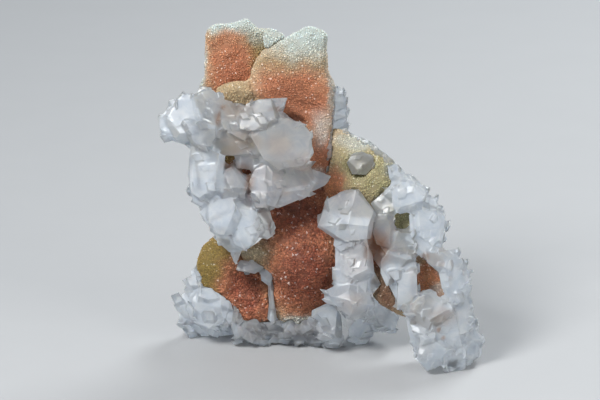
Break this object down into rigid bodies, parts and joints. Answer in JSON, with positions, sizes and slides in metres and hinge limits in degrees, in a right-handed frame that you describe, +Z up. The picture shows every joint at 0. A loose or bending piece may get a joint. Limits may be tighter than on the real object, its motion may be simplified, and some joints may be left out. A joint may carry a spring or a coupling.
{
  "type": "calcite with dolomite mineral specimen",
  "caption": "Standing mineral specimen: upright dolomite blades covered with fine druse, carrying cascades of pale calcite crystals down the front, right side and base.",
  "frame": {"origin": "middle of the specimen's bounding box, on the surface it stands on", "axes": "+Z up, the longest way; +X to the viewer's right, towards the leg; +Y to the back, the shallowest way"},
  "size_m": [0.097, 0.0496, 0.1007],
  "materials": {
    "milky_calcite": "milky, translucent crystals with a vitreous lustre",
    "dolomite_main_body": "fine sparkling druse, pale green-white at the top, orange-red to red-brown below",
    "dolomite_wing": "fine sparkling druse, yellow-green to orange",
    "dolomite_left_lobe": "fine sparkling druse, yellow rim and orange-red middle",
    "dolomite_blade_splinter": "fine sparkling druse, nearly white",
    "dolomite_left_blade": "fine sparkling druse, orange-pink with a pale rim"
  },
  "bodies": {
    "root": {"calcite_upper_cascade": "milky_calcite", "calcite_rhomb_cluster": "milky_calcite", "calcite_right_cascade": "milky_calcite", "calcite_lower_left_cluster": "milky_calcite", "calcite_lower_vein": "milky_calcite", "calcite_base_fringe": "milky_calcite", "calcite_wing_crystal": "milky_calcite", "calcite_hanging_crystals": "milky_calcite", "calcite_edge_crystals": "milky_calcite", "calcite_back_cluster": "milky_calcite", "dolomite_main_body": "dolomite_main_body", "dolomite_wing": "dolomite_wing", "dolomite_left_lobe": "dolomite_left_lobe", "dolomite_blade_splinter": "dolomite_blade_splinter", "dolomite_left_blade": "dolomite_left_blade"}
  },
  "joints": []
}
